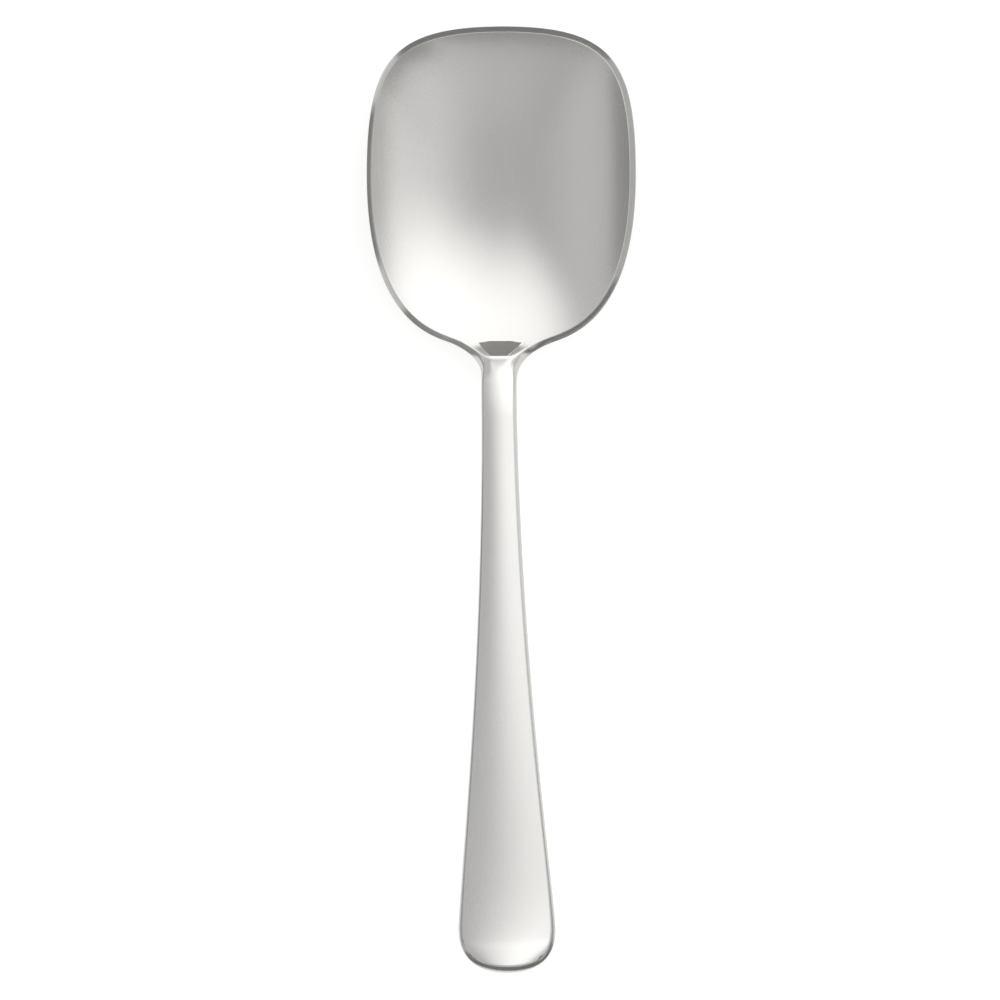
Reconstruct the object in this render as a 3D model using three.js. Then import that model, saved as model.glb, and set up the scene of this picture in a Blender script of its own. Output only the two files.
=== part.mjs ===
// Serving spoon of stainless steel: a pressed bowl and a forged handle, butt-welded across the narrowest
// part of the stem and ground flush. The spoon lies on a table with the bowl open upwards.
// Axes: +Y runs from the handle's end to the bowl's tip, +X is to the right, +Z is up. Millimetres.
import * as THREE from "three";
import { LoftGeometry } from "three/addons/geometries/LoftGeometry.js";
import { mergeVertices } from "three/addons/utils/BufferGeometryUtils.js";

// Handle
const HANDLE_LENGTH = 143.4; // from its end to the weld
const HANDLE_END_WIDTH = 23.8;
const HANDLE_END_ROUND = 10.4; // from the end to the widest place
const HANDLE_END_THICKNESS = 2.4;
const HANDLE_CROWN = 0.9; // how far the middle stands above the edges
const HANDLE_END_PAD = 7; // length that lies flat on the table
const STEM_WIDTH = 8.6;
const STEM_THICKNESS = 4;
const STEM_CROWN = 0.35;
const STEM_CLEARANCE = 16; // from the table to the underside of the stem at the weld
const STEM_TURN = 8; // length before the weld over which the stem turns level
const STEM_DIP = 0.45; // how far that turn lowers the stem
const HANDLE_EDGE = 0.8; // width of the bevel along the upper edges
const HANDLE_END_EDGE = 1.6; // over the end
const HANDLE_CORNER_EDGE = 1.3; // at the end's corners
const HANDLE_UNDER_ROUND = 0.5;
const EDGE_ANGLE = 38; // slope of the bevels in degrees

// Neck, from the weld to the crease where the bowl's hollow starts
const NECK_LENGTH = 10.3;
const FACET_LENGTH = 4.1; // the sloping face between the crease and the top of the stem
const FACET_RISE = 4.3;
const FACET_LOW_WIDTH = 11.4;
const FACET_HIGH_WIDTH = 3.3;
const SHOULDER_WIDTH = 27.4; // at the crease
const SHOULDER_ANGLE = 18.5; // degrees from straight across
const SHOULDER_EDGE = 0.8; // width that the bevel gains on the shoulders
const HEEL_ROUND = 3; // height over which the bowl's back turns into the stem's underside

// Bowl
const BOWL_LENGTH = 76.3; // from the crease to the tip
const BOWL_WIDTH = 65.8;
const BOWL_WIDEST_FROM_TIP = 35.8;
const BOWL_DEEPEST_FROM_TIP = 35;
const BOWL_DEPTH = 13.2;
const BOWL_SHEET = 1.8;
const RIM_WALL_ANGLE = 55; // degrees from level at which the sheet meets the rim
const RIM_UNDER_ROUND = 0.3;
const HOLLOW_TURN = 20; // half width over which the hollow's edge bends round at the neck
const FOOT_GRIND = 0.12; // depth ground off the underside, which leaves a small flat

// Fullness of the curves: the shares of a span that a curve holds its first direction
const END_FULLNESS = [0.64, 0.66]; // at the end, at the side
const TAPER_FULLNESS = [0.06, 0.5]; // at the handle's end, at the stem
const SHOULDER_FULLNESS = [0.5, 0.61]; // at the stem, at the crease
const FLANK_FULLNESS = [0.8, 0.48]; // at the crease, at the widest place
const TIP_FULLNESS = [0.77, 0.82]; // at the widest place, at the tip

// Powers of the hollow's cross sections: a larger one gives a flatter floor and a steeper wall
const ACROSS_POWER = 2.5;
const TO_TIP_POWER = 2.6;
const TO_NECK_POWER = 2.3;
const CROWN_POWER = 2;
const FLANK_POWER = 1.8;
const SHOULDER_POWER = 2.2; // above one, the shoulders rise most at the bowl
const ARCH_POWER = 0.73; // below one, the handle drops most near its end
const ARCH_START = 0.2; // share of the arch over which it leaves the table
const FLANK_START = 0.04; // share of a flank over which it leaves the facet
const FACET_FADE = 5; // length before the facet over which its sides run out
const EDGE_DROP = 0.7; // share of the thickness that a bevel takes at most
const ROW_BOW_POWER = 6; // the rows across the neck run straight and bend back near their ends

// Fineness of the mesh
const COLUMNS = 8; // to each side of the middle
const FACET_COLUMNS = 3; // of those, across half the facet
const END_ROWS = 5;
const TAPER_ROWS = 24;
const FACET_ROWS = 4;
const NECK_ROWS = 4;
const FLANK_ROWS = 14;
const TIP_ROWS = 14;
const END_BOW_LENGTH = 30; // how far in from the handle's end the rows bow like its arc
const EDGE_SAMPLES = 60; // along each curve of the bowl's edge
const SOLVE_STEPS = 50;

const creaseAt = HANDLE_LENGTH + NECK_LENGTH;
const tipAt = creaseAt + BOWL_LENGTH;
const widestAt = tipAt - BOWL_WIDEST_FROM_TIP;
const deepestAt = tipAt - BOWL_DEEPEST_FROM_TIP;
const facetTopAt = creaseAt - FACET_LENGTH;
const rimHeight = BOWL_SHEET + BOWL_DEPTH;
const rimBand = BOWL_SHEET * Math.sin(THREE.MathUtils.degToRad(RIM_WALL_ANGLE));
const rimUnder = rimHeight - BOWL_SHEET * Math.cos(THREE.MathUtils.degToRad(RIM_WALL_ANGLE));
const edgeSlope = Math.tan(THREE.MathUtils.degToRad(EDGE_ANGLE));
const stemTop = STEM_CLEARANCE + STEM_THICKNESS;
const rimSide = rimHeight - rimUnder + FOOT_GRIND;
const stemSide = STEM_THICKNESS - STEM_CROWN;

const lerp = THREE.MathUtils.lerp;
const clamp01 = (t) => THREE.MathUtils.clamp(t, 0, 1);
const ease = (t) => THREE.MathUtils.smoothstep(t, 0, 1);

// The lower of two heights, with their meeting rounded off over the given height
function softMin(a, b, round) {
  const share = clamp01(0.5 + (b - a) / (2 * round));
  return lerp(b, a, share) - round * share * (1 - share);
}

// Outline of the right half in plan, from the handle's end to the bowl's tip
const endHalf = HANDLE_END_WIDTH / 2;
const stemHalf = STEM_WIDTH / 2;
const shoulderHalf = SHOULDER_WIDTH / 2;
const bowlHalf = BOWL_WIDTH / 2;
const shoulderTurn = THREE.MathUtils.degToRad(SHOULDER_ANGLE);
const shoulderDirection = new THREE.Vector2(Math.cos(shoulderTurn), Math.sin(shoulderTurn));
const shoulderPoint = new THREE.Vector2(shoulderHalf, creaseAt);
const plan = (x, along) => new THREE.Vector2(x, along);
const taperSpan = HANDLE_LENGTH - HANDLE_END_ROUND;

const endCurve = new THREE.CubicBezierCurve(
  plan(0, 0),
  plan(endHalf * END_FULLNESS[0], 0),
  plan(endHalf, HANDLE_END_ROUND * (1 - END_FULLNESS[1])),
  plan(endHalf, HANDLE_END_ROUND),
);
const taperCurve = new THREE.CubicBezierCurve(
  plan(endHalf, HANDLE_END_ROUND),
  plan(endHalf, HANDLE_END_ROUND + taperSpan * TAPER_FULLNESS[0]),
  plan(stemHalf, HANDLE_LENGTH - taperSpan * TAPER_FULLNESS[1]),
  plan(stemHalf, HANDLE_LENGTH),
);
const shoulderCurve = new THREE.CubicBezierCurve(
  plan(stemHalf, HANDLE_LENGTH),
  plan(stemHalf, HANDLE_LENGTH + NECK_LENGTH * SHOULDER_FULLNESS[0]),
  shoulderPoint.clone().addScaledVector(shoulderDirection, (stemHalf - shoulderHalf) * SHOULDER_FULLNESS[1]),
  shoulderPoint,
);
const flankCurve = new THREE.CubicBezierCurve(
  shoulderPoint,
  shoulderPoint.clone().addScaledVector(shoulderDirection, (bowlHalf - shoulderHalf) * FLANK_FULLNESS[0]),
  plan(bowlHalf, lerp(widestAt, creaseAt, FLANK_FULLNESS[1])),
  plan(bowlHalf, widestAt),
);
const tipCurve = new THREE.CubicBezierCurve(
  plan(bowlHalf, widestAt),
  plan(bowlHalf, lerp(widestAt, tipAt, TIP_FULLNESS[0])),
  plan(bowlHalf * TIP_FULLNESS[1], tipAt),
  plan(0, tipAt),
);

// Curve parameter at which a rising measure along the curve reaches a value
function solve(measure, value) {
  let low = 0;
  let high = 1;
  for (let step = 0; step < SOLVE_STEPS; step += 1) {
    const middle = (low + high) / 2;
    if (measure(middle) < value) low = middle;
    else high = middle;
  }
  return (low + high) / 2;
}

// Positive where a curve runs more along the spoon than across it
function lean(curve, t) {
  const tangent = curve.getTangent(t);
  return Math.abs(tangent.y) - Math.abs(tangent.x);
}

// The arc that closes an end of the spoon, from its corner to its apex on the middle line.
// Rows of the mesh bow towards its shape from the start point on; sense is the sign of dx along the curve.
const endCornerAt = solve((t) => lean(endCurve, t), 0);
const tipCornerAt = solve((t) => -lean(tipCurve, t), 0);
const endCorner = endCurve.getPoint(endCornerAt);
const tipCorner = tipCurve.getPoint(tipCornerAt);
const endArc = { curve: endCurve, sense: 1, corner: endCorner, apex: 0, start: END_BOW_LENGTH };
const tipArc = { curve: tipCurve, sense: -1, corner: tipCorner, apex: tipAt, start: deepestAt };

// How far the arc has reached from its corner towards its apex, at a share of its half width
function arcReach(arc, share) {
  const x = Math.abs(share) * arc.corner.x;
  const t = solve((value) => arc.sense * arc.curve.getPoint(value).x, arc.sense * x);
  return (arc.curve.getPoint(t).y - arc.corner.y) / (arc.apex - arc.corner.y);
}

// Heights, at a distance along the spoon from the handle's end.
// The handle's underside is flat at its end, steepest after that and level again at the weld.
const arched = (share) => Math.hypot(share, ARCH_START) - ARCH_START;

function archUnder(along) {
  const share = Math.max(0, (along - HANDLE_END_PAD) / (HANDLE_LENGTH - HANDLE_END_PAD));
  const rise = (arched(share) / arched(1)) ** ARCH_POWER;
  const turned = Math.max(0, (along - HANDLE_LENGTH) / STEM_TURN + 1);
  return (STEM_CLEARANCE + STEM_DIP) * rise - STEM_DIP * turned ** 2;
}

// One at the weld and below, zero at the crease
const handleShare = (along) => ease((creaseAt - along) / NECK_LENGTH);
const handlePart = (along) => clamp01(along / HANDLE_LENGTH);

// Evenly spaced values after the first and up to the last
function steps(from, to, count) {
  return Array.from({ length: count }, (_, step) => lerp(from, to, (step + 1) / count));
}

// Outward direction in plan at a place on an outline curve
function outwardAt(curve, t) {
  const tangent = curve.getTangent(t);
  return plan(tangent.y, -tangent.x);
}

// Directions and distances from the deepest place to the bowl's edge, from the neck round to the tip.
// The edge bends round across the neck and then follows the outline.
function edgeRound(neck, inset) {
  const rimPoint = (curve, t) => curve.getPoint(t).addScaledVector(outwardAt(curve, t), -inset);
  const rimAlong = (curve) => steps(0, 1, EDGE_SAMPLES).map((t) => rimPoint(curve, t));
  const rim = [...rimAlong(flankCurve), ...rimAlong(tipCurve)];
  const turn = rim.findIndex((point) => point.x > HOLLOW_TURN);
  const half = rim[turn].x;
  const rise = rim[turn].y - neck;
  const run = rim[turn].clone().sub(rim[turn - 1]);
  const bend = ((half * run.y) / run.x - 2 * rise) / 2;
  const bent = (share) => plan(half * share, neck + (rise - bend) * share ** 2 + bend * share ** 4);
  const across = [0, ...steps(0, 1, EDGE_SAMPLES)].map(bent);
  return [...across, ...rim.slice(turn + 1)].map((point) => {
    const arm = plan(point.x, point.y - deepestAt);
    return { turn: Math.atan2(arm.x, -arm.y), length: arm.length() };
  });
}

const hollowEdge = edgeRound(creaseAt, rimBand);
const backEdge = edgeRound(creaseAt - rimBand, RIM_UNDER_ROUND);

// Zero at the deepest place, one at the bowl's edge
function bowlWall(edge, x, along) {
  const arm = plan(Math.abs(x), along - deepestAt);
  if (arm.length() === 0) return 0;
  const turn = Math.atan2(arm.x, -arm.y);
  const after = edge.findIndex((sample) => sample.turn >= turn);
  const high = after < 0 ? edge.length - 1 : Math.max(after, 1);
  const [before, next] = [edge[high - 1], edge[high]];
  const reach = lerp(before.length, next.length, clamp01((turn - before.turn) / (next.turn - before.turn)));
  const lengthwise = arm.y < 0 ? TO_NECK_POWER : TO_TIP_POWER;
  return (arm.length() / reach) ** lerp(ACROSS_POWER, lengthwise, (arm.y / arm.length()) ** 2);
}

const hollowHeight = (x, along) => rimHeight - BOWL_DEPTH * (1 - bowlWall(hollowEdge, x, along));

function topMiddle(along) {
  if (along <= HANDLE_LENGTH) {
    return archUnder(along) + lerp(HANDLE_END_THICKNESS, STEM_THICKNESS, handlePart(along));
  }
  const facetTop = rimHeight + FACET_RISE;
  if (along <= facetTopAt) {
    return lerp(stemTop, facetTop, ((along - HANDLE_LENGTH) / (facetTopAt - HANDLE_LENGTH)) ** 2);
  }
  return lerp(facetTop, rimHeight, (along - facetTopAt) / FACET_LENGTH);
}

function topEdge(along) {
  if (along <= HANDLE_LENGTH) return topMiddle(along) - lerp(HANDLE_CROWN, STEM_CROWN, handlePart(along));
  const share = clamp01((creaseAt - along) / NECK_LENGTH);
  return lerp(rimHeight, stemTop - STEM_CROWN, 1 - (1 - share) ** SHOULDER_POWER);
}

// Half width of the sloping facet; beyond its ends the same mesh line spreads to an even share
function facetHalf(along, half) {
  const even = (half * FACET_COLUMNS) / COLUMNS;
  const share = clamp01((along - facetTopAt) / FACET_LENGTH);
  const facet = lerp(FACET_HIGH_WIDTH, FACET_LOW_WIDTH, share) / 2;
  const above = (along - creaseAt) / NECK_LENGTH;
  const below = (facetTopAt - along) / (facetTopAt - HANDLE_LENGTH);
  return lerp(facet, even, ease(Math.max(above, below)));
}

// The stem's crown ends on the facet, with flanks beside it that run out into the rim
function topHeight(along, x, half, facet) {
  if (along >= creaseAt) return hollowHeight(x, along);
  const share = clamp01(Math.abs(x) / half);
  if (along <= HANDLE_LENGTH) return lerp(topMiddle(along), topEdge(along), share ** CROWN_POWER);
  const down = clamp01((Math.abs(x) - facet) / (half - facet));
  const fall = lerp(share ** CROWN_POWER, down ** FLANK_POWER, ease((along - facetTopAt) / FACET_FADE + 1));
  const plain = lerp(topMiddle(along), topEdge(along), fall);
  const hollowed = ease((along - facetTopAt) / FACET_LENGTH) * ease(down / FLANK_START);
  return lerp(plain, hollowHeight(x, along), hollowed);
}

// The bowl's back, ground flat where it stands, turns into the flat underside of the stem
function underHeight(along, x, half) {
  if (along <= HANDLE_LENGTH) return archUnder(along);
  const share = clamp01(Math.abs(x) / half);
  const wall = rimUnder * bowlWall(backEdge, x, along) - FOOT_GRIND;
  const heel = softMin(wall, STEM_CLEARANCE, HEEL_ROUND);
  const side = topEdge(along) - lerp(rimSide, stemSide, handleShare(along) ** 2);
  const edged = lerp(heel, side, share ** ACROSS_POWER);
  return Math.max(0, lerp(heel, edged, handleShare(along)));
}

// Height of the outermost line: low on the bowl's rim, under the bevel on the handle
function edgeHeight(top, under, outer, blend) {
  const bevel = edgeSlope * Math.hypot(outer.x - top.x, outer.y - top.y);
  const drop = Math.min(bevel, EDGE_DROP * (top.z - under.z));
  return lerp(under.z + RIM_UNDER_ROUND, top.z - drop, blend ** 2);
}

// A row of the mesh: its outline point, the outward direction there and how far it bows like the arc
function rowOn(curve, t, arc) {
  const point = curve.getPoint(t);
  const bow = clamp01((point.y - arc.start) / (arc.corner.y - arc.start)) ** 2;
  return { point, outward: outwardAt(curve, t), arc, bow };
}

const rowAtLength = (curve, along, arc) => rowOn(curve, solve((t) => curve.getPoint(t).y, along), arc);

// Signed shares of a row's half width at which the mesh lines cross it
function columnShares(facetShare) {
  const right = [];
  for (let column = 1; column <= COLUMNS; column += 1) {
    const inner = (facetShare * column) / FACET_COLUMNS;
    const outer = lerp(facetShare, 1, (column - FACET_COLUMNS) / (COLUMNS - FACET_COLUMNS));
    right.push(column <= FACET_COLUMNS ? inner : outer);
  }
  return [...right.map((share) => -share).reverse(), 0, ...right];
}

// One closed section: over the top from left to right, then back along the underside.
// On the handle the heights follow the row's middle, in the bowl each point's own place.
function section(row) {
  const { point, outward, arc, bow } = row;
  const blend = handleShare(point.y);
  const endBow = arc === endArc ? bow : 0;
  const wider = SHOULDER_EDGE * 4 * blend * (1 - blend);
  const sideInset = lerp(rimBand, lerp(HANDLE_EDGE, HANDLE_CORNER_EDGE, endBow), blend) + wider;
  const endInset = lerp(rimBand, lerp(HANDLE_EDGE, HANDLE_END_EDGE, endBow), blend);
  const underInset = lerp(RIM_UNDER_ROUND, HANDLE_UNDER_ROUND, blend);
  const top = point.clone().addScaledVector(outward, -sideInset);
  const under = point.clone().addScaledVector(outward, -underInset);
  const reach = arc.apex - arc.corner.y;
  const middle = point.y + reach * bow;
  const topMid = middle - Math.sign(reach) * endInset * bow;
  const underMid = middle - Math.sign(reach) * underInset * bow;
  const facet = facetHalf(topMid, top.x);
  const shares = columnShares(facet / top.x);
  const bowed = (share) => lerp(1 - Math.abs(share) ** ROW_BOW_POWER, arcReach(arc, share), bow);
  const place = (along, middleAlong) => (arc === endArc ? middleAlong : along);
  const over = shares.map((share) => {
    const along = lerp(top.y, topMid, bowed(share));
    const height = topHeight(place(along, topMid), share * top.x, top.x, facet);
    return new THREE.Vector3(share * top.x, along, height);
  });
  const below = shares.map((share) => {
    const along = lerp(under.y, underMid, bowed(share));
    const height = underHeight(place(along, underMid), share * under.x, under.x);
    return new THREE.Vector3(share * under.x, along, height);
  });
  const edge = edgeHeight(over.at(-1), below.at(-1), point, blend);
  const right = new THREE.Vector3(point.x, point.y, edge);
  const left = new THREE.Vector3(-point.x, point.y, edge);
  return { ring: [...over, right, ...below.toReversed(), left], shares, over, below, blend };
}

// The row at an end's corner, folded onto the arc that is the end's outermost line
function fold(arc, last) {
  const outer = last.shares.map((share, column) => {
    const place = plan(share * arc.corner.x, lerp(arc.corner.y, arc.apex, arcReach(arc, share)));
    const height = edgeHeight(last.over[column], last.below[column], place, last.blend);
    return new THREE.Vector3(place.x, place.y, height);
  });
  return [...outer, outer.at(-1), ...outer.toReversed(), outer[0]];
}

// Closed body skinned over the rings, without the triangles that a folded row leaves empty
function body(rings, caps) {
  const loft = new LoftGeometry(rings, caps);
  const bare = new THREE.BufferGeometry();
  bare.setAttribute("position", loft.getAttribute("position"));
  bare.setIndex(loft.getIndex());
  const skin = mergeVertices(bare);
  const corners = Array.from(skin.getIndex().array);
  const kept = [];
  for (let first = 0; first < corners.length; first += 3) {
    const triangle = corners.slice(first, first + 3);
    if (new Set(triangle).size === 3) kept.push(...triangle);
  }
  skin.setIndex(kept);
  skin.translate(0, -tipAt / 2, 0);
  skin.computeVertexNormals();
  return skin;
}

const weldRow = rowAtLength(taperCurve, HANDLE_LENGTH, endArc);

const handleRows = [
  ...[endCornerAt, ...steps(endCornerAt, 1, END_ROWS)].map((t) => rowOn(endCurve, t, endArc)),
  ...steps(0, 1, TAPER_ROWS).slice(0, -1).map((t) => rowOn(taperCurve, t, endArc)),
  weldRow,
].map(section);

const bowlRows = [
  weldRow,
  ...steps(HANDLE_LENGTH, facetTopAt, NECK_ROWS).map((along) => rowAtLength(shoulderCurve, along, tipArc)),
  ...steps(facetTopAt, creaseAt, FACET_ROWS).map((along) => rowAtLength(shoulderCurve, along, tipArc)),
  ...steps(0, 1, FLANK_ROWS).map((t) => rowOn(flankCurve, t, tipArc)),
  ...steps(0, tipCornerAt, TIP_ROWS).map((t) => rowOn(tipCurve, t, tipArc)),
].map(section);

const handleRings = [fold(endArc, handleRows[0]), ...handleRows.map((row) => row.ring)];
const bowlRings = [...bowlRows.map((row) => row.ring), fold(tipArc, bowlRows.at(-1))];

function piece(name, geometry) {
  const satinSteel = new THREE.MeshStandardMaterial({ color: 0xb4b1ae, roughness: 0.3, metalness: 1 });
  const mesh = new THREE.Mesh(geometry, satinSteel);
  mesh.name = name;
  return mesh;
}

const spoon = new THREE.Group();
spoon.name = "serving_spoon";
spoon.add(piece("bowl", body(bowlRings, { capStart: true })));
spoon.add(piece("handle", body(handleRings, { capEnd: true })));

export default spoon;
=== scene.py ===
"""Serving spoon of satin stainless steel: the pressed bowl, the forged handle and their studio."""

import math
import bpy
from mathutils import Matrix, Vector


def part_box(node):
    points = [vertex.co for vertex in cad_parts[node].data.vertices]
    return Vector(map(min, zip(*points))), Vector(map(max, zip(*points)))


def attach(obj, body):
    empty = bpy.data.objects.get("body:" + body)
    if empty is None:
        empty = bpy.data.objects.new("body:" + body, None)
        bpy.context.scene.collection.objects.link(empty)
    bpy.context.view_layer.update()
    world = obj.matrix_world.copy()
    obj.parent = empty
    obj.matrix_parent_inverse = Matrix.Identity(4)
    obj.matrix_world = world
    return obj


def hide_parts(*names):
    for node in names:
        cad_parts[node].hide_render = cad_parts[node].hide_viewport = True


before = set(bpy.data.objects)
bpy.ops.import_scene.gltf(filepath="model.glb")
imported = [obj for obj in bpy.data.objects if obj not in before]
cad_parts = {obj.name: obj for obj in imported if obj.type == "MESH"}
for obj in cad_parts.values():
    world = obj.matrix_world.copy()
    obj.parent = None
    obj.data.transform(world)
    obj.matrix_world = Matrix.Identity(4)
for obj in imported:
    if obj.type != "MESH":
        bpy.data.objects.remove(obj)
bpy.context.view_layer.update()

from types import SimpleNamespace

import bmesh
import bpy
import numpy as np
from bpy.props import FloatProperty, PointerProperty, StringProperty
from bpy.types import NodeSocket, Operator, Panel, PropertyGroup
from mathutils import Vector

bl_info = {
    "name": "Serving Spoon",
    "version": (1, 0, 0),
    "blender": (4, 5, 0),
    "location": "View3D > Sidebar > Spoon",
    "description": "Builds a satin stainless steel serving spoon on a white studio board",
    "category": "Object",
}

BOWL_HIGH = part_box("bowl")[1]
HANDLE_LOW, HANDLE_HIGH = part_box("handle")


def length(name, description, default):
    """A size in metres."""
    return FloatProperty(name=name, description=description, default=default, unit="LENGTH", precision=5)


def angle(name, description, degrees):
    """An angle, given here in degrees."""
    return FloatProperty(name=name, description=description, default=math.radians(degrees), subtype="ANGLE")


def number(name, description, default):
    """A plain number."""
    return FloatProperty(name=name, description=description, default=default, precision=4)


def colour(name, description, value):
    """An sRGB hex colour."""
    return StringProperty(name=name, description=description, default=value)


class SpoonSizes(PropertyGroup):
    """Sizes of the bowl, the neck and the handle."""

    end_round: length("Handle end", "From the handle's end to its widest place", 0.0104)
    end_thickness: length("End thickness", "Thickness of the handle at its end", 0.0024)
    end_edge: length("End edge", "Width of the bevel over the handle's end", 0.0016)
    end_corner: length("End corner", "Width of the bevel at the corners of the handle's end", 0.0013)
    end_pad: length("End pad", "Length of the handle that lies flat on the table", 0.007)
    end_bow: length("End bow", "How far in from the handle's end the rows bow like its arc", 0.03)
    handle_crown: length("Handle crown", "Height of the handle's middle over its edges", 0.0009)
    handle_edge: length("Handle edge", "Width of the bevel along the handle", 0.0008)
    handle_under: length("Handle underside", "Width of the rounding under the handle's edges", 0.0005)
    edge_angle: angle("Edge angle", "Slope of the bevels along the handle", 38.0)
    stem_width: length("Stem width", "Width of the stem at the weld", 0.0086)
    stem_thickness: length("Stem thickness", "Thickness of the stem at the weld", 0.004)
    stem_crown: length("Stem crown", "Height of the stem's middle over its edges", 0.00035)
    stem_turn: length("Stem turn", "Length before the weld over which the stem turns level", 0.008)
    stem_dip: length("Stem dip", "How far that turn lowers the stem", 0.00045)
    neck_length: length("Neck length", "From the weld to the crease of the bowl", 0.0103)
    facet_length: length("Facet length", "Length of the sloping facet in plan", 0.0041)
    facet_rise: length("Facet rise", "Height of the sloping facet", 0.0043)
    facet_low_width: length("Facet foot", "Width of the facet at the bowl", 0.0114)
    facet_high_width: length("Facet head", "Width of the facet at the stem", 0.0033)
    facet_round: length("Facet rounding", "Height over which the facet turns into the stem", 0.0004)
    facet_fade: length("Facet fade", "Length before the facet over which its sides run out", 0.005)
    shoulder_width: length("Shoulder width", "Width of the outline at the crease", 0.0274)
    shoulder_angle: angle("Shoulder angle", "Slant of the shoulders from straight across", 18.5)
    shoulder_edge: length("Shoulder edge", "Width that the bevel gains on the shoulders", 0.0008)
    hollow_turn: length("Hollow turn", "Half width over which the hollow's edge bends at the neck", 0.02)
    heel_round: length("Heel rounding", "Height over which the bowl turns into the stem underneath", 0.003)
    widest_from_tip: length("Widest place", "From the tip to the bowl's widest place", 0.0358)
    deepest_from_tip: length("Deepest place", "From the tip to the bowl's deepest place", 0.035)
    bowl_depth: length("Bowl depth", "Depth of the hollow", 0.0132)
    sheet: length("Sheet", "Thickness of the bowl's sheet", 0.0018)
    rim_angle: angle("Rim angle", "Slope of the sheet at the rim", 55.0)
    rim_round: length("Rim rounding", "How far the polished rim stands out in its middle", 0.00003)
    rim_under: length("Rim underside", "How far the sheet's lower face ends inside the outline", 0.00006)
    foot_grind: length("Foot grind", "Depth ground off under the bowl for the small flat", 0.00012)


class SpoonFinish(PropertyGroup):
    """Colour and polish of the steel."""

    steel: colour("Steel", "Colour of the steel on its brushing lines", "#C6C5C3")
    steel_low: colour("Steel, low", "Colour of the steel between its brushing lines", "#C3C2C0")
    satin: number("Satin", "Roughness of the brushed faces", 0.26)
    polish: number("Polish", "Roughness of the polished rim, edges and facet", 0.14)
    gloss_change: number("Gloss change", "Change of roughness over the lines, and over the clouds", 0.012)
    grain: length("Grain", "Width of one brushing line", 0.00025)
    grain_length: length("Grain length", "Length of one brushing line", 0.012)
    cloud: length("Clouds", "Width of the buffing clouds", 0.015)
    relief: number("Relief", "Strength of the brushing lines' relief", 0.03)
    relief_depth: length("Relief depth", "Depth of the brushing lines at full strength", 0.000025)


class SpoonStudio(PropertyGroup):
    """Camera, light and board."""

    camera_distance: length("Camera distance", "From the camera to the spoon", 2.4)
    camera_lean: angle("Camera lean", "Lean of the view from straight down, towards the right", 6.3)
    aim_x: length("Aim across", "Place on the table that the camera aims at, across", -0.00179)
    aim_y: length("Aim along", "Place on the table that the camera aims at, along", 0.00017)
    frame_height: length("Frame height", "Height of the picture at the table", 0.24376)
    world_level: number("World", "Brightness of the room", 0.69)
    box_along: length("Box place", "Place of the handle's soft box along the spoon", -0.0425)
    box_height: length("Box height", "Height of the handle's soft box over the table", 0.068)
    box_width: length("Box width", "Width of the handle's soft box", 0.13)
    box_length: length("Box length", "Length of the handle's soft box", 0.177)
    box_lean_along: angle("Box lean along", "Lean of the box about the line across the spoon", -8.2)
    box_lean_across: angle("Box lean across", "Lean of the box about the line along the spoon", 9.2)
    box_spread: angle("Box spread", "Angle that the box's grid lets through", 73.6)
    box_power: number("Box power", "Power of the handle's soft box in watts", 0.0206)
    floor: colour("Board", "Colour of the white board", "#BCBCBA")
    floor_glow: number("Board glow", "Brightness added to the board where it is seen", 0.6)
    floor_size: length("Board size", "Width of the white board", 4.0)


# Shares of a span over which an outline curve holds its direction, at its start and at its end
END_FULLNESS = (0.64, 0.66)
TAPER_FULLNESS = (0.06, 0.5)
SHOULDER_FULLNESS = (0.5, 0.61)
FLANK_FULLNESS = (0.8, 0.48)
TIP_FULLNESS = (0.77, 0.82)

# Powers of the hollow's cross sections: a larger one gives a flatter floor and a steeper wall
ACROSS_POWER = 2.5
TO_TIP_POWER = 2.6
TO_NECK_POWER = 2.3

# Powers of the other curved rises and falls
CROWN_POWER = 2.0
FLANK_POWER = 1.8
SHOULDER_POWER = 2.2  # above one, the shoulders rise most at the bowl
ARCH_POWER = 0.73  # below one, the handle drops most near its end
ROW_BOW_POWER = 6  # the rows across the neck run straight and bend back near their ends

# Shares of a length or height
ARCH_START = 0.2  # of the arch, over which it leaves the table
FLANK_START = 0.04  # of a flank, over which it leaves the facet
EDGE_FULLNESS = 0.9  # of the way to its corner that a bevelled edge reaches for
EDGE_DROP = 0.7  # of the thickness, the most that a bevel takes

# Fineness of the meshes
COLUMNS = 40  # to each side of the middle
FACET_COLUMNS = 15  # of those, across half the facet
END_ROWS = 16
TAPER_ROWS = 170
NECK_ROWS = 24
FACET_ROWS = 18
FLANK_ROWS = 64
TIP_ROWS = 56
EDGE_CUTS = 13  # between the upper and the lower face
FACET_LINE = FACET_COLUMNS / COLUMNS
SMOOTH_ANGLE = math.radians(40.0)  # edges that turn by more stay sharp

# Fineness of the working
ARC_SAMPLES = 400  # points that stand for a curve
BEVEL_SAMPLES = np.linspace(0.05, 0.95, 31)  # where a bevelled edge is kept inside the outline
SOLVE_STEPS = 40  # halvings that find a place on a curve
COLUMN_SLACK = 1e-4  # difference within which two places across the mesh are the same
NO_LENGTH = 1e-9


def mix(first, second, part):
    """Value between two others."""
    return first + (second - first) * part


def clamp(part):
    """The nearest value from nought to one."""
    return min(max(part, 0.0), 1.0)


def ease(part):
    """Smooth rise from nought to one."""
    part = clamp(part)
    return part * part * (3.0 - 2.0 * part)


def hump(part):
    """Rise from nought to one halfway, and back."""
    return 4.0 * part * (1.0 - part)


def soft_min(first, second, height):
    """The lower of two heights, with their meeting rounded off."""
    part = clamp(0.5 + (second - first) / (2.0 * height))
    return mix(second, first, part) - height * part * (1.0 - part)


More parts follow.
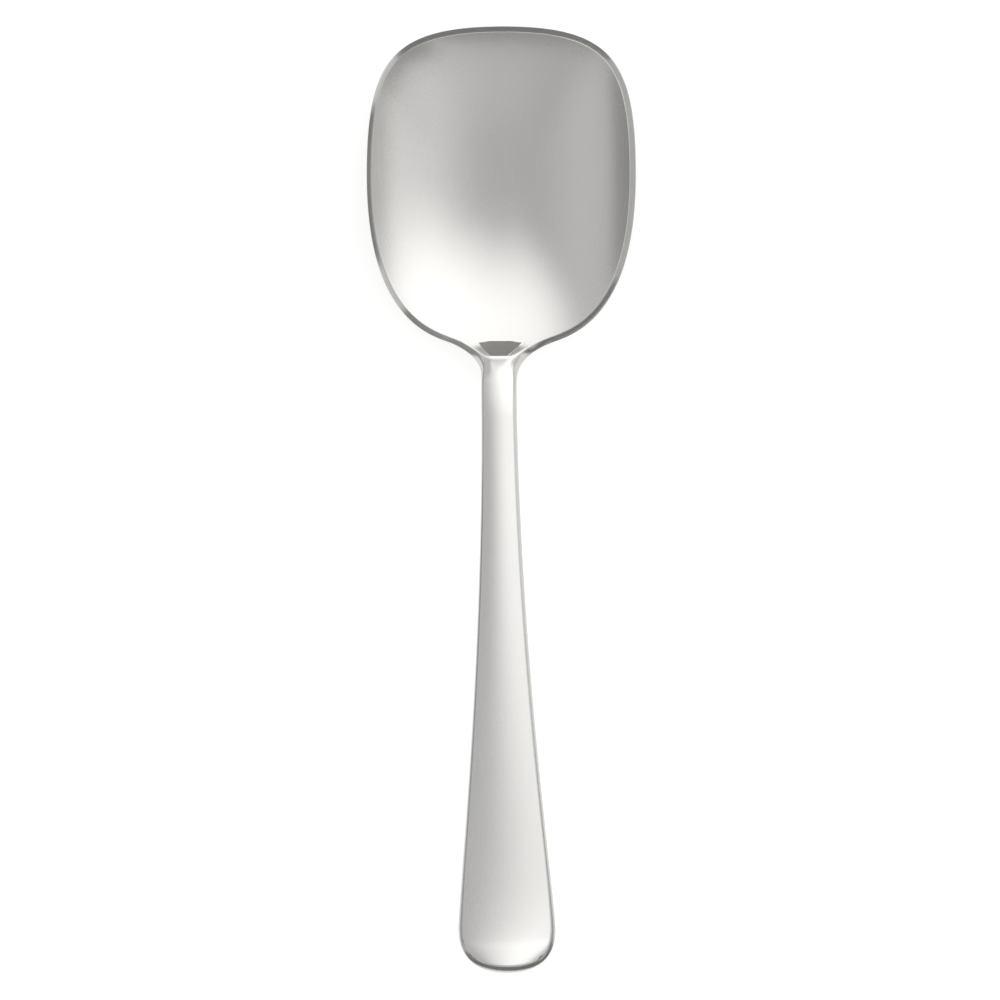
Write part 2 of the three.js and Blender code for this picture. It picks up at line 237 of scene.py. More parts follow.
def bezier(curve, t):
    """Point and direction on a cubic curve of four points."""
    a, b, c, d = curve
    u = 1.0 - t
    point = a * u**3 + b * (3.0 * u * u * t) + c * (3.0 * u * t * t) + d * t**3
    direction = (b - a) * (u * u) + (c - b) * (2.0 * u * t) + (d - c) * (t * t)
    return point, direction.normalized()


def even_steps(first, last, count):
    """Evenly spaced values after the first and up to the last."""
    return [mix(first, last, (step + 1) / count) for step in range(count)]


class SpoonForm:
    """Outline in plan and heights of the spoon. Lengthwise places are Y in the spoon's frame."""

    def __init__(self, sizes):
        self.s = sizes
        self.end = HANDLE_LOW.y
        self.weld = HANDLE_HIGH.y
        self.tip = BOWL_HIGH.y
        self.crease = self.weld + sizes.neck_length
        self.facet_top = self.crease - sizes.facet_length
        self.widest = self.tip - sizes.widest_from_tip
        self.deepest = self.tip - sizes.deepest_from_tip
        self.stem_top = HANDLE_HIGH.z
        self.clearance = self.stem_top - sizes.stem_thickness
        self.rim = sizes.sheet + sizes.bowl_depth
        self.rim_band = sizes.sheet * math.sin(sizes.rim_angle)
        self.rim_low = self.rim - sizes.sheet * math.cos(sizes.rim_angle)
        self.draw_outline()
        self.hollow_edge = self.edge_round(self.crease, self.rim_band)
        self.back_edge = self.edge_round(self.crease - self.rim_band, sizes.rim_under)

    def draw_outline(self):
        """Right half of the outline as five curves, and the arcs that close its two ends."""
        s = self.s
        end_half = HANDLE_HIGH.x
        stem_half = s.stem_width / 2.0
        shoulder_half = s.shoulder_width / 2.0
        bowl_half = BOWL_HIGH.x
        end_widest = self.end + s.end_round
        taper = self.weld - end_widest
        slant = Vector((math.cos(s.shoulder_angle), math.sin(s.shoulder_angle)))
        shoulder = Vector((shoulder_half, self.crease))
        self.end_curve = (
            Vector((0.0, self.end)),
            Vector((end_half * END_FULLNESS[0], self.end)),
            Vector((end_half, end_widest - s.end_round * END_FULLNESS[1])),
            Vector((end_half, end_widest)),
        )
        self.taper_curve = (
            Vector((end_half, end_widest)),
            Vector((end_half, end_widest + taper * TAPER_FULLNESS[0])),
            Vector((stem_half, self.weld - taper * TAPER_FULLNESS[1])),
            Vector((stem_half, self.weld)),
        )
        self.shoulder_curve = (
            Vector((stem_half, self.weld)),
            Vector((stem_half, self.weld + s.neck_length * SHOULDER_FULLNESS[0])),
            shoulder - slant * ((shoulder_half - stem_half) * SHOULDER_FULLNESS[1]),
            shoulder,
        )
        self.flank_curve = (
            shoulder,
            shoulder + slant * ((bowl_half - shoulder_half) * FLANK_FULLNESS[0]),
            Vector((bowl_half, mix(self.widest, self.crease, FLANK_FULLNESS[1]))),
            Vector((bowl_half, self.widest)),
        )
        self.tip_curve = (
            Vector((bowl_half, self.widest)),
            Vector((bowl_half, mix(self.widest, self.tip, TIP_FULLNESS[0]))),
            Vector((bowl_half * TIP_FULLNESS[1], self.tip)),
            Vector((0.0, self.tip)),
        )
        self.end_arc = self.closing_arc(self.end_curve, 0.0, self.end + s.end_bow)
        self.tip_arc = self.closing_arc(self.tip_curve, 1.0, self.deepest)

    def closing_arc(self, curve, middle_t, bow_start):
        """The arc from the middle line to an end's corner, where the curve turns from across to along."""
        steps = np.linspace(middle_t, 1.0 - middle_t, ARC_SAMPLES)
        directions = [bezier(curve, t)[1] for t in steps]
        turn = [abs(direction.y) - abs(direction.x) for direction in directions]
        corner_t = float(np.interp(0.0, turn, steps))
        corner = bezier(curve, corner_t)[0]
        apex = bezier(curve, middle_t)[0].y
        points = [bezier(curve, t) for t in np.linspace(middle_t, corner_t, ARC_SAMPLES)]
        return SimpleNamespace(
            corner_t=corner_t,
            corner=corner,
            apex=apex,
            bow_start=bow_start,
            shares=np.array([point.x / corner.x for point, _ in points]),
            reach=np.array([(point.y - corner.y) / (apex - corner.y) for point, _ in points]),
            out_x=np.array([direction.y for _, direction in points]),
            out_y=np.array([-direction.x for _, direction in points]),
        )

    def edge_round(self, neck, inset):
        """Directions and distances from the deepest place to the bowl's edge, from neck to tip."""
        rim = []
        for curve in (self.flank_curve, self.tip_curve):
            for t in np.linspace(0.0, 1.0, ARC_SAMPLES):
                point, direction = bezier(curve, t)
                rim.append(point - Vector((direction.y, -direction.x)) * inset)
        turn = next(index for index, point in enumerate(rim) if point.x > self.s.hollow_turn)
        half = rim[turn].x
        rise = rim[turn].y - neck
        run = rim[turn] - rim[turn - 1]
        # Across the neck the edge is level in the middle and runs into the rim without a corner
        bend = (half * run.y / run.x - 2.0 * rise) / 2.0
        across = []
        for share in np.linspace(0.0, 1.0, ARC_SAMPLES):
            across.append(Vector((half * share, neck + (rise - bend) * share**2 + bend * share**4)))
        arms = [point - Vector((0.0, self.deepest)) for point in across[:-1] + rim[turn:]]
        turns = np.array([math.atan2(arm.x, -arm.y) for arm in arms])
        return turns, np.array([arm.length for arm in arms])

    def bowl_wall(self, edge, x, y):
        """Nought at the deepest place, one at the bowl's edge, even round the bowl."""
        arm = Vector((abs(x), y - self.deepest))
        if arm.length < NO_LENGTH:
            return 0.0
        share = arm.length / float(np.interp(math.atan2(arm.x, -arm.y), *edge))
        lengthwise = TO_NECK_POWER if arm.y < 0.0 else TO_TIP_POWER
        return share ** mix(ACROSS_POWER, lengthwise, (arm.y / arm.length) ** 2)

    def hollow(self, x, y):
        """Height of the hollow's face."""
        return self.rim - self.s.bowl_depth * (1.0 - self.bowl_wall(self.hollow_edge, x, y))

    def at(self, curve, y):
        """Curve parameter at a lengthwise place."""
        low = 0.0
        high = 1.0
        for _ in range(SOLVE_STEPS):
            middle = (low + high) / 2.0
            if bezier(curve, middle)[0].y < y:
                low = middle
            else:
                high = middle
        return (low + high) / 2.0

    def arch(self, y):
        """Height of the handle's underside: flat at its end, steepest after that, level at the weld."""
        s = self.s
        rest = self.end + s.end_pad
        part = max((y - rest) / (self.weld - rest), 0.0)
        full = math.hypot(1.0, ARCH_START) - ARCH_START
        rise = ((math.hypot(part, ARCH_START) - ARCH_START) / full) ** ARCH_POWER
        turned = max((y - self.weld) / s.stem_turn + 1.0, 0.0)
        return (self.clearance + s.stem_dip) * rise - s.stem_dip * turned**2

    def handle_part(self, y):
        """One at the weld and towards the handle, nought at the crease and in the bowl."""
        return ease((self.crease - y) / self.s.neck_length)

    def along_handle(self, y):
        """Nought at the handle's end, one at the weld."""
        return (y - self.end) / (self.weld - self.end)

    def top_middle(self, y):
        """Height of the upper face on the middle line."""
        s = self.s
        if y <= self.weld:
            return self.arch(y) + mix(s.end_thickness, s.stem_thickness, self.along_handle(y))
        if y >= self.crease:
            return self.hollow(0.0, y)
        facet = self.rim + s.facet_rise * (self.crease - y) / s.facet_length
        bent = (y - self.weld) / (self.facet_top - self.weld)
        stem = mix(self.stem_top, self.rim + s.facet_rise, bent**2)
        return soft_min(facet, stem, s.facet_round)

    def top_edge(self, y):
        """Height of the upper face at its edges."""
        s = self.s
        if y <= self.weld:
            return self.top_middle(y) - mix(s.handle_crown, s.stem_crown, self.along_handle(y))
        part = clamp((self.crease - y) / s.neck_length)
        return mix(self.rim, self.stem_top - s.stem_crown, 1.0 - (1.0 - part) ** SHOULDER_POWER)

    def under_edge(self, y):
        """Height of the underside at its edges."""
        if y <= self.weld:
            return self.arch(y)
        rim_side = self.rim - self.rim_low + self.s.foot_grind
        stem_side = self.stem_top - self.s.stem_crown - self.clearance
        return self.top_edge(y) - mix(rim_side, stem_side, self.handle_part(y) ** 2)

    def row(self, curve, t, arc):
        """One row of points across the spoon, with its outline point and where its two faces end."""
        s = self.s
        point, direction = bezier(curve, t)
        outward = Vector((direction.y, -direction.x))
        bow = clamp((point.y - arc.bow_start) / (arc.corner.y - arc.bow_start)) ** 2
        part = self.handle_part(point.y)
        end_bow = bow if arc is self.end_arc else 0.0
        side = mix(self.rim_band, mix(s.handle_edge, s.end_corner, end_bow), part)
        side += s.shoulder_edge * hump(part)
        over_end = mix(self.rim_band, mix(s.handle_edge, s.end_edge, end_bow), part)
        under = mix(s.rim_under, s.handle_under, part)
        reach = arc.apex - arc.corner.y
        middle = point.y + reach * bow
        towards = math.copysign(bow, reach)
        row = SimpleNamespace(arc=arc, bow=bow, part=part, outward=outward, point=point)
        row.top = point - outward * side
        row.under = point - outward * under
        row.top_mid = middle - towards * over_end
        row.under_mid = middle - towards * under
        row.facet = self.facet_half(row.top_mid, row.top.x)
        return row

    def facet_half(self, y, half):
        """Half width of the facet; beyond its ends the same mesh line spreads to an even share."""
        s = self.s
        part = clamp((y - self.facet_top) / s.facet_length)
        facet = mix(s.facet_high_width, s.facet_low_width, part) / 2.0
        past_foot = (y - self.crease) / s.neck_length
        past_head = (self.facet_top - y) / (self.facet_top - self.weld)
        return mix(facet, half * FACET_LINE, ease(max(past_foot, past_head)))

    def top_height(self, row, x, y):
        """The stem's crown ends on the facet, with flanks beside it that run out into the rim."""
        half = row.top.x
        share = min(abs(x) / half, 1.0)
        if y <= self.weld:
            return mix(self.top_middle(y), self.top_edge(y), share**CROWN_POWER)
        if y >= self.crease:
            return self.hollow(x, y)
        down = clamp((abs(x) - row.facet) / (half - row.facet))
        at_facet = ease((y - self.facet_top) / self.s.facet_fade + 1.0)
        fall = mix(share**CROWN_POWER, down**FLANK_POWER, at_facet)
        plain = mix(self.top_middle(y), self.top_edge(y), fall)
        sunk = ease((y - self.facet_top) / self.s.facet_length) * ease(down / FLANK_START)
        return mix(plain, self.hollow(x, y), sunk)

    def under_height(self, row, x, y):
        """Underside: the bowl's back, ground flat where it stands, turns into the stem's flat underside."""
        if y <= self.weld:
            return self.arch(y)
        share = min(abs(x) / row.under.x, 1.0)
        wall = self.rim_low * self.bowl_wall(self.back_edge, x, y) - self.s.foot_grind
        heel = soft_min(wall, self.clearance, self.s.heel_round)
        stem = mix(heel, self.under_edge(y), share**ACROSS_POWER)
        return max(0.0, mix(heel, stem, self.handle_part(y)))

    def place(self, row, across, over, at_end):
        """Point of the finished piece. Across runs from -1 to 1, over from 0 underneath to 1 on top."""
        arc = row.arc
        facet = row.facet / row.top.x
        share = facet * abs(across) / FACET_LINE
        if abs(across) > FACET_LINE:
            share = mix(facet, 1.0, (abs(across) - FACET_LINE) / (1.0 - FACET_LINE))
        like_arc = float(np.interp(share, arc.shares, arc.reach))
        bowed = mix(1.0 - share**ROW_BOW_POWER, like_arc, row.bow)
        sided = math.copysign(share, across)
        top = Vector((sided * row.top.x, mix(row.top.y, row.top_mid, bowed), 0.0))
        top.z = self.top_height(row, top.x, row.top_mid if arc is self.end_arc else top.y)
        under = Vector((sided * row.under.x, mix(row.under.y, row.under_mid, bowed), 0.0))
        under.z = self.under_height(row, under.x, row.under_mid if arc is self.end_arc else under.y)
        if at_end:
            outer = Vector((sided * arc.corner.x, mix(arc.corner.y, arc.apex, bowed), 0.0))
            out_x = np.interp(share, arc.shares, arc.out_x)
            outward = Vector((math.copysign(out_x, across), np.interp(share, arc.shares, arc.out_y), 0.0))
        elif abs(across) > 1.0 - COLUMN_SLACK:
            outer = Vector((math.copysign(row.point.x, across), row.point.y, 0.0))
            outward = Vector((math.copysign(row.outward.x, across), row.outward.y, 0.0))
        else:
            return top.lerp(under, 1.0 - over)
        rim = self.rim_edge(top, under, outward, over)
        return rim.lerp(self.bevelled_edge(top, under, outer, outward, over), row.part**2)

    def rim_edge(self, top, under, outward, over):
        """The rim of the bowl: the cut edge of the sheet, polished slightly round."""
        turn = math.pi * (1.0 - over)
        rise = self.s.rim_angle
        direction = outward * math.cos(rise) + Vector((0.0, 0.0, math.sin(rise)))
        cut = top.lerp(under, (1.0 - math.cos(turn)) / 2.0)
        return cut + direction * (self.s.rim_round * math.sin(turn))

    def bevelled_edge(self, top, under, outer, outward, over):
        """The edge of the handle: a bevel above, a rounded corner on the outline and the side below.

        The curve reaches for a corner beyond the outline, the furthest that keeps the curve inside it.
        """
        t = BEVEL_SAMPLES
        u = 1.0 - t
        short = 1.0 - EDGE_FULLNESS
        from_top = (outer - top).xy.length * (u**3 + 3.0 * u * u * t * short)
        from_under = (outer - under).xy.length * (t**3 + 3.0 * u * t * t * short)
        beyond = float(np.min((from_top + from_under) / (3.0 * EDGE_FULLNESS * u * t)))
        corner = outer + outward * beyond
        slope = (corner - top).xy.length * math.tan(self.s.edge_angle)
        corner.z = top.z - min(slope, EDGE_DROP * (top.z - under.z))
        curve = (top, top.lerp(corner, EDGE_FULLNESS), under.lerp(corner, EDGE_FULLNESS), under)
        return bezier(curve, 1.0 - over)[0]


def press(name, form, rows, end_row, facet_rows=range(0)):
    """A flat blank gets its thickness, its walls are cut finer, and each point is pressed onto the form."""
    bm = bmesh.new()
    bmesh.ops.create_grid(bm, x_segments=2 * COLUMNS, y_segments=len(rows) - 1, size=1.0)
    layers = bm.verts.layers.float
    across, along, over, polish = [layers.new(key) for key in ("across", "along", "over", "polish")]
    for vert in bm.verts:
        vert[across] = vert.co.x
        vert[along] = round((vert.co.y + 1.0) / 2.0 * (len(rows) - 1))
    thick = bmesh.ops.extrude_face_region(bm, geom=bm.faces[:], use_keep_orig=True)
    for item in thick["geom"]:
        if isinstance(item, bmesh.types.BMVert):
            item[over] = 1.0
    walls = [edge for edge in bm.edges if edge.verts[0][over] != edge.verts[1][over]]
    bmesh.ops.subdivide_edges(bm, edges=walls, cuts=EDGE_CUTS, use_grid_fill=True)
    for vert in bm.verts:
        index = round(vert[along])
        vert.co = form.place(rows[index], vert[across], vert[over], index == end_row)
        on_facet = index in facet_rows and abs(vert[across]) < FACET_LINE + COLUMN_SLACK
        vert[polish] = 1.0 if on_facet and vert[over] == 1.0 else math.sin(math.pi * vert[over])
    bmesh.ops.recalc_face_normals(bm, faces=bm.faces[:])
    for face in bm.faces:
        face.smooth = True
    for edge in bm.edges:
        edge.smooth = edge.calc_face_angle(0.0) < SMOOTH_ANGLE
        on_top = all(vert[over] == 1.0 for vert in edge.verts)
        places = [round(vert[along]) for vert in edge.verts]
        columns = [abs(vert[across]) for vert in edge.verts]
        if on_top and all(place in facet_rows for place in places):
            foot = min(places) == facet_rows[-1] and max(columns) < FACET_LINE + COLUMN_SLACK
            side = all(abs(column - FACET_LINE) < COLUMN_SLACK for column in columns)
            if foot or side:
                edge.smooth = False
    for key in ("across", "along", "over"):
        layers.remove(layers[key])
    mesh = bpy.data.meshes.new(name)
    bm.to_mesh(mesh)
    bm.free()
    piece = bpy.data.objects.new(name, mesh)
    bpy.context.collection.objects.link(piece)
    return piece


def linear(value):
    """Linear RGBA of an sRGB hex colour."""
    shares = [int(value[place : place + 2], 16) / 255.0 for place in (1, 3, 5)]
    return [part / 12.92 if part <= 0.04045 else ((part + 0.055) / 1.055) ** 2.4 for part in shares] + [1.0]


WHITE = linear("#FFFFFF")


def add(tree, kind, inputs=(), **settings):
    """A node with its settings and its inputs, which are values or the sockets that feed them."""
    node = tree.nodes.new(kind)
    for name, value in settings.items():
        setattr(node, name, value)
    for name, value in dict(inputs).items():
        if isinstance(value, NodeSocket):
            tree.links.new(value, node.inputs[name])
        else:
            node.inputs[name].default_value = value
    return node


def empty_material(name):
    """A material with no nodes yet."""
    material = bpy.data.materials.new(name)
    material.use_nodes = True
    material.node_tree.nodes.clear()
    return material


STEEL_NAME = "satin_stainless_steel"

# Octaves of the two patterns, and the spans of a pattern that the gloss and the tone follow
LINE_DETAIL = 2.0
CLOUD_DETAIL = 1.0
GLOSS_SPAN = (0.3, 0.7)
TONE_SPAN = (0.25, 0.75)


def satin_steel(finish):
    """Stainless steel, belt-brushed lengthwise to a satin and buffed along its edges.

    The eye sees a soft neutral grey that mirrors the studio as blurred bands, faint lengthwise
    brushing lines, and brighter, sharper reflections on the rounded edges and the facet.
    """
    material = empty_material(STEEL_NAME)
    tree = material.node_tree
    place = add(tree, "ShaderNodeTexCoord").outputs["Object"]
    # Real brushing lines are some 0.05 mm wide: they are drawn coarser so that they show in a render
    line_scale = (1.0 / finish.grain, 1.0 / finish.grain_length, 1.0 / finish.grain)
    stretched = add(tree, "ShaderNodeMapping", {"Vector": place, "Scale": line_scale}).outputs["Vector"]
    lines = add(tree, "ShaderNodeTexNoise", {"Vector": stretched, "Scale": 1.0, "Detail": LINE_DETAIL})
    # Hand buffing leaves clouds of slightly different gloss, about as wide as a fingertip
    cloud_inputs = {"Vector": place, "Scale": 1.0 / finish.cloud, "Detail": CLOUD_DETAIL}
    clouds = add(tree, "ShaderNodeTexNoise", cloud_inputs)
    buffed = add(tree, "ShaderNodeAttribute", attribute_name="polish", attribute_type="GEOMETRY")
    base_inputs = {"Value": buffed.outputs["Fac"], "To Min": finish.satin, "To Max": finish.polish}
    rough = add(tree, "ShaderNodeMapRange", base_inputs).outputs["Result"]
    for pattern in (lines, clouds):
        change = add(
            tree,
            "ShaderNodeMapRange",
            {
                "Value": pattern.outputs["Fac"],
                "From Min": GLOSS_SPAN[0],
                "From Max": GLOSS_SPAN[1],
                "To Min": -finish.gloss_change,
                "To Max": finish.gloss_change,
            },
        )
        varied = add(tree, "ShaderNodeMath", {0: rough, 1: change.outputs["Result"]}, operation="ADD")
        rough = varied.outputs["Value"]
    tone = add(tree, "ShaderNodeValToRGB", {"Fac": lines.outputs["Fac"]})
    for stop, position, shade in zip(tone.color_ramp.elements, TONE_SPAN, (finish.steel_low, finish.steel)):
        stop.position = position
        stop.color = linear(shade)
    relief = add(
        tree,
        "ShaderNodeBump",
        {"Height": lines.outputs["Fac"], "Strength": finish.relief, "Distance": finish.relief_depth},
    )
    shader = add(
        tree,
        "ShaderNodeBsdfPrincipled",
        {
            "Base Color": tone.outputs["Color"],
            "Metallic": 1.0,
            "Roughness": rough,
            "Normal": relief.outputs["Normal"],
        },
    )
    add(tree, "ShaderNodeOutputMaterial", {"Surface": shader.outputs["BSDF"]})
    return material


def matt_white(studio):
    """Matt white table board: pale and even, with the spoon's soft shadow; its open area reads as white."""
    material = empty_material("matt_white_board")
    tree = material.node_tree
    path = add(tree, "ShaderNodeLightPath").outputs
    seen = path["Is Camera Ray"]
    for other in ("Is Glossy Ray", "Is Transmission Ray"):
        seen = add(tree, "ShaderNodeMath", {0: seen, 1: path[other]}, operation="MAXIMUM").outputs["Value"]
    glow = add(tree, "ShaderNodeMath", {0: seen, 1: studio.floor_glow}, operation="MULTIPLY")
    shader = add(
        tree,
        "ShaderNodeBsdfPrincipled",
        {
            "Base Color": linear(studio.floor),
            "Roughness": 1.0,
            "Specular IOR Level": 0.0,
            "Emission Color": WHITE,
            "Emission Strength": glow.outputs["Value"],
        },
    )
    add(tree, "ShaderNodeOutputMaterial", {"Surface": shader.outputs["BSDF"]})
    return material


def finish_piece(piece, node):
    """The piece rides on the spoon's one body, stands for its solid and takes the steel."""
    steel = bpy.data.materials.get(STEEL_NAME) or satin_steel(bpy.context.scene.spoon_finish)
    piece.data.materials.append(steel)
    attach(piece, "root")
    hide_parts(node)


class SPOON_OT_handle(Operator):
    """Forges the handle from its rounded end to the weld"""

    bl_idname = "spoon.handle"
    bl_label = "Handle"

    def execute(self, context):
        form = SpoonForm(context.scene.spoon_sizes)
        arc = form.end_arc
        rounded = [arc.corner_t] + even_steps(arc.corner_t, 1.0, END_ROWS)
        rows = [form.row(form.end_curve, t, arc) for t in rounded]
        rows += [form.row(form.taper_curve, t, arc) for t in even_steps(0.0, 1.0, TAPER_ROWS)]
        finish_piece(press("handle_forging", form, rows, 0), "handle")
        return {"FINISHED"}


class SPOON_OT_bowl(Operator):
    """Presses the neck and the bowl from the weld to the tip"""

    bl_idname = "spoon.bowl"
    bl_label = "Bowl"

    def execute(self, context):
        form = SpoonForm(context.scene.spoon_sizes)
        arc = form.tip_arc
        neck = even_steps(form.weld, form.facet_top, NECK_ROWS)
        neck += even_steps(form.facet_top, form.crease, FACET_ROWS)
        rows = [form.row(form.taper_curve, 1.0, form.end_arc)]
        rows += [form.row(form.shoulder_curve, form.at(form.shoulder_curve, y), arc) for y in neck]
        rows += [form.row(form.flank_curve, t, arc) for t in even_steps(0.0, 1.0, FLANK_ROWS)]
        rows += [form.row(form.tip_curve, t, arc) for t in even_steps(0.0, arc.corner_t, TIP_ROWS)]
        facet_rows = range(NECK_ROWS, len(neck) + 1)
        finish_piece(press("bowl_pressing", form, rows, len(rows) - 1, facet_rows), "bowl")
        return {"FINISHED"}


# Soft lights in the walls of the room: degrees round from the tip towards the right, degrees above the
# table, radius in degrees of the even part, radius where the light ends, and brightness
ROOM_LIGHTS = (
    (22.0, 12.5, 17.0, 69.0, 1.3),
    (120.0, 17.5, 18.0, 78.0, 0.32),
    (272.0, 0.0, 30.0, 72.0, 0.15),
    (90.0, 5.0, 8.0, 28.0, 0.2),
)


def heading(azimuth, elevation):
    """Direction by its degrees round from the tip towards the right, and by its degrees above the table."""
    turn = math.radians(azimuth)
    lift = math.radians(elevation)
    return Vector((math.sin(turn) * math.cos(lift), math.cos(turn) * math.cos(lift), math.sin(lift)))


def studio_room(studio):
    """Room of even soft light, with a large soft light before the tip and fainter ones at the sides."""
    world = bpy.data.worlds.new("studio_room")
    world.use_nodes = True
    tree = world.node_tree
    tree.nodes.clear()
    looking = add(tree, "ShaderNodeTexCoord").outputs["Generated"]
    level = studio.world_level
    for azimuth, elevation, inner, outer, brightness in ROOM_LIGHTS:
        towards = {0: looking, 1: heading(azimuth, elevation)}
        facing = add(tree, "ShaderNodeVectorMath", towards, operation="DOT_PRODUCT")
        glow = add(
            tree,
            "ShaderNodeMapRange",
            {
                "Value": facing.outputs["Value"],
                "From Min": math.cos(math.radians(outer)),
                "From Max": math.cos(math.radians(inner)),
                "To Max": brightness,
            },
            interpolation_type="SMOOTHSTEP",
        )
        total = add(tree, "ShaderNodeMath", {0: level, 1: glow.outputs["Result"]}, operation="ADD")
        level = total.outputs["Value"]
    light = add(tree, "ShaderNodeBackground", {"Color": WHITE, "Strength": level})
    add(tree, "ShaderNodeOutputWorld", {"Surface": light.outputs["Background"]})
    return world


def handle_box(studio):
    """Soft box over the handle, with a grid before it: it shines most along its axis, which leans."""
    light = bpy.data.lights.new("handle_box", "AREA")
    light.shape = "RECTANGLE"
    light.size = studio.box_width
    light.size_y = studio.box_length
    light.spread = studio.box_spread
    light.energy = studio.box_power
    lamp = bpy.data.objects.new("handle_box", light)
    lamp.location = (0.0, studio.box_along, studio.box_height)
    lamp.rotation_euler = (studio.box_lean_along, studio.box_lean_across, 0.0)
    lamp.visible_camera = False
    bpy.context.collection.objects.link(lamp)


def flat_sheet(name, across, along, material):
    """Flat rectangle about the origin, in the plane of the table: a square of one metre, scaled."""
    bm = bmesh.new()
    bmesh.ops.create_grid(bm, x_segments=1, y_segments=1, size=0.5)
    bmesh.ops.scale(bm, vec=(across, along, 1.0), verts=bm.verts[:])
    mesh = bpy.data.meshes.new(name)
    bm.to_mesh(mesh)
    bm.free()
    mesh.materials.append(material)
    sheet = bpy.data.objects.new(name, mesh)
    bpy.context.collection.objects.link(sheet)
    return sheet


# Flags of felt round the spoon, some on the board and some hung above it: name, middle of the lower edge,
# degrees by which the flag turns from lengthwise, length, height and shade
FLAGS = (
    ("tip_flag", (0.0, 0.137, 0.0), 90.0, 0.13, 0.024, "#B4B4B2"),
    ("left_flag", (-0.135, 0.075, 0.0), 0.0, 0.1, 0.024, "#9C9C9A"),
    ("left_low_flag", (-0.06, -0.06, 0.0), 0.0, 0.16, 0.032, "#B4B4B2"),
    ("stem_flag", (-0.03, 0.026, 0.013), 0.0, 0.036, 0.0065, "#B0B0AE"),
    ("back_flag", (0.06, -0.2, 0.0), 90.0, 0.55, 0.05, "#7C7C7A"),
    ("corner_flag", (0.381, -0.332, 0.11), -47.0, 0.78, 0.085, "#848482"),
    ("right_flag", (0.09, 0.075, 0.02), 0.0, 0.117, 0.0205, "#FCFCFA"),
    ("right_corner_flag", (0.07, 0.144, 0.018), 42.0, 0.1, 0.0225, "#FCFCFA"),
)
FLAG_EVEN = 0.7  # share of a flag's length that is even; the felt thins out from there to its ends


def felt(name, span, shade):
    """Felt of a flag, thinning out towards its ends: it gives the polished edges a darker line."""
    material = empty_material(name + "_felt")
    tree = material.node_tree
    place = add(tree, "ShaderNodeTexCoord").outputs["Object"]
    along = add(tree, "ShaderNodeSeparateXYZ", {"Vector": place}).outputs["Y"]
    off_middle = add(tree, "ShaderNodeMath", {0: along}, operation="ABSOLUTE")
    cover = add(
        tree,
        "ShaderNodeMapRange",
        {
            "Value": off_middle.outputs["Value"],
            "From Min": span * FLAG_EVEN / 2.0,
            "From Max": span / 2.0,
            "To Min": 1.0,
            "To Max": 0.0,
        },
        interpolation_type="SMOOTHSTEP",
    )
    shader = add(
        tree,
        "ShaderNodeBsdfPrincipled",
        {
            "Base Color": linear(shade),
            "Roughness": 1.0,
            "Specular IOR Level": 0.0,
            "Alpha": cover.outputs["Result"],
        },
    )
    add(tree, "ShaderNodeOutputMaterial", {"Surface": shader.outputs["BSDF"]})
    return material


def hang_flag(name, foot, turn, span, height, shade):
    """A flag that shows only in the polished steel."""
    flag = flat_sheet(name, height, span, felt(name, span, shade))
    flag.location = Vector(foot) + Vector((0.0, 0.0, height / 2.0))
    flag.rotation_euler = (0.0, math.radians(90.0), math.radians(turn))
    for sight in ("visible_camera", "visible_diffuse", "visible_shadow", "visible_transmission"):
        setattr(flag, sight, False)


SENSOR_WIDTH = 36.0  # millimetres
CAMERA_REACH = 20.0


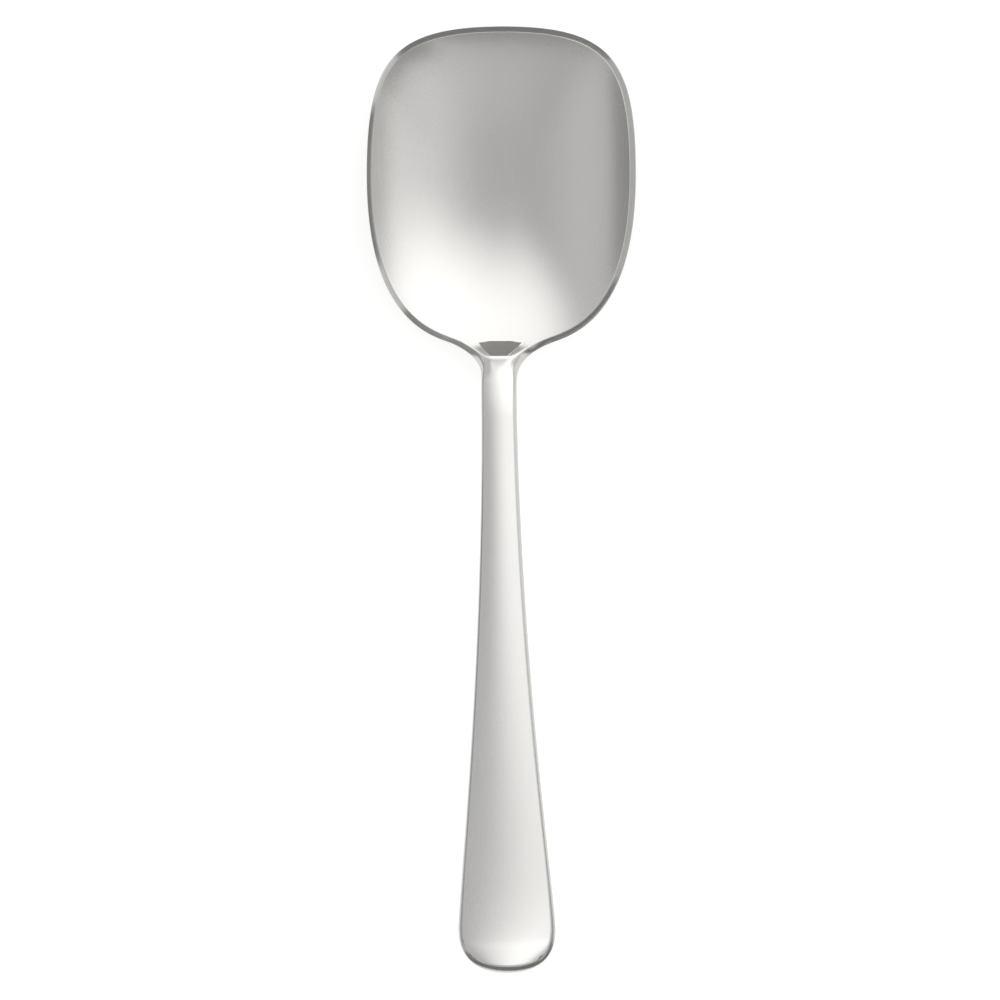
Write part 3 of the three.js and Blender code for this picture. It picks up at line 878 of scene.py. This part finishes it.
def place_camera(studio):
    """Camera far above the spoon, leaning towards the right; the frame height fills the picture."""
    camera_data = bpy.data.cameras.new("camera")
    camera_data.sensor_width = SENSOR_WIDTH
    camera_data.lens = SENSOR_WIDTH * studio.camera_distance / studio.frame_height
    camera_data.clip_end = CAMERA_REACH
    camera = bpy.data.objects.new("camera", camera_data)
    back = Vector((math.sin(studio.camera_lean), 0.0, math.cos(studio.camera_lean)))
    camera.location = Vector((studio.aim_x, studio.aim_y, 0.0)) + back * studio.camera_distance
    camera.rotation_euler = (0.0, studio.camera_lean, 0.0)
    bpy.context.collection.objects.link(camera)
    return camera


class SPOON_OT_studio(Operator):
    """Lays the white board, lights the room and sets the camera above the spoon"""

    bl_idname = "spoon.studio"
    bl_label = "Studio"

    def execute(self, context):
        studio = context.scene.spoon_studio
        context.scene.view_settings.view_transform = "Standard"
        context.scene.world = studio_room(studio)
        flat_sheet("white_board", studio.floor_size, studio.floor_size, matt_white(studio))
        for flag in FLAGS:
            hang_flag(*flag)
        handle_box(studio)
        context.scene.camera = place_camera(studio)
        return {"FINISHED"}


class SPOON_PT_panel(Panel):
    """Lists the spoon's pieces, sizes, finish and studio"""

    bl_idname = "SPOON_PT_panel"
    bl_label = "Serving spoon"
    bl_space_type = "VIEW_3D"
    bl_region_type = "UI"
    bl_category = "Spoon"

    def draw(self, context):
        for operator in OPERATORS:
            self.layout.operator(operator.bl_idname)
        for group in (context.scene.spoon_sizes, context.scene.spoon_finish, context.scene.spoon_studio):
            column = self.layout.column()
            for name in group.__annotations__:
                column.prop(group, name)


OPERATORS = (SPOON_OT_handle, SPOON_OT_bowl, SPOON_OT_studio)
CLASSES = (SpoonSizes, SpoonFinish, SpoonStudio, *OPERATORS, SPOON_PT_panel)


def register():
    """Registers the classes and gives the scene their settings."""
    for item in CLASSES:
        bpy.utils.register_class(item)
    bpy.types.Scene.spoon_sizes = PointerProperty(type=SpoonSizes)
    bpy.types.Scene.spoon_finish = PointerProperty(type=SpoonFinish)
    bpy.types.Scene.spoon_studio = PointerProperty(type=SpoonStudio)


def unregister():
    """Takes the settings off the scene and unregisters the classes."""
    del bpy.types.Scene.spoon_studio
    del bpy.types.Scene.spoon_finish
    del bpy.types.Scene.spoon_sizes
    for item in reversed(CLASSES):
        bpy.utils.unregister_class(item)


def main():
    """Builds the spoon and its studio."""
    register()
    bpy.ops.spoon.handle()
    bpy.ops.spoon.bowl()
    bpy.ops.spoon.studio()


if __name__ == "__main__":
    main()
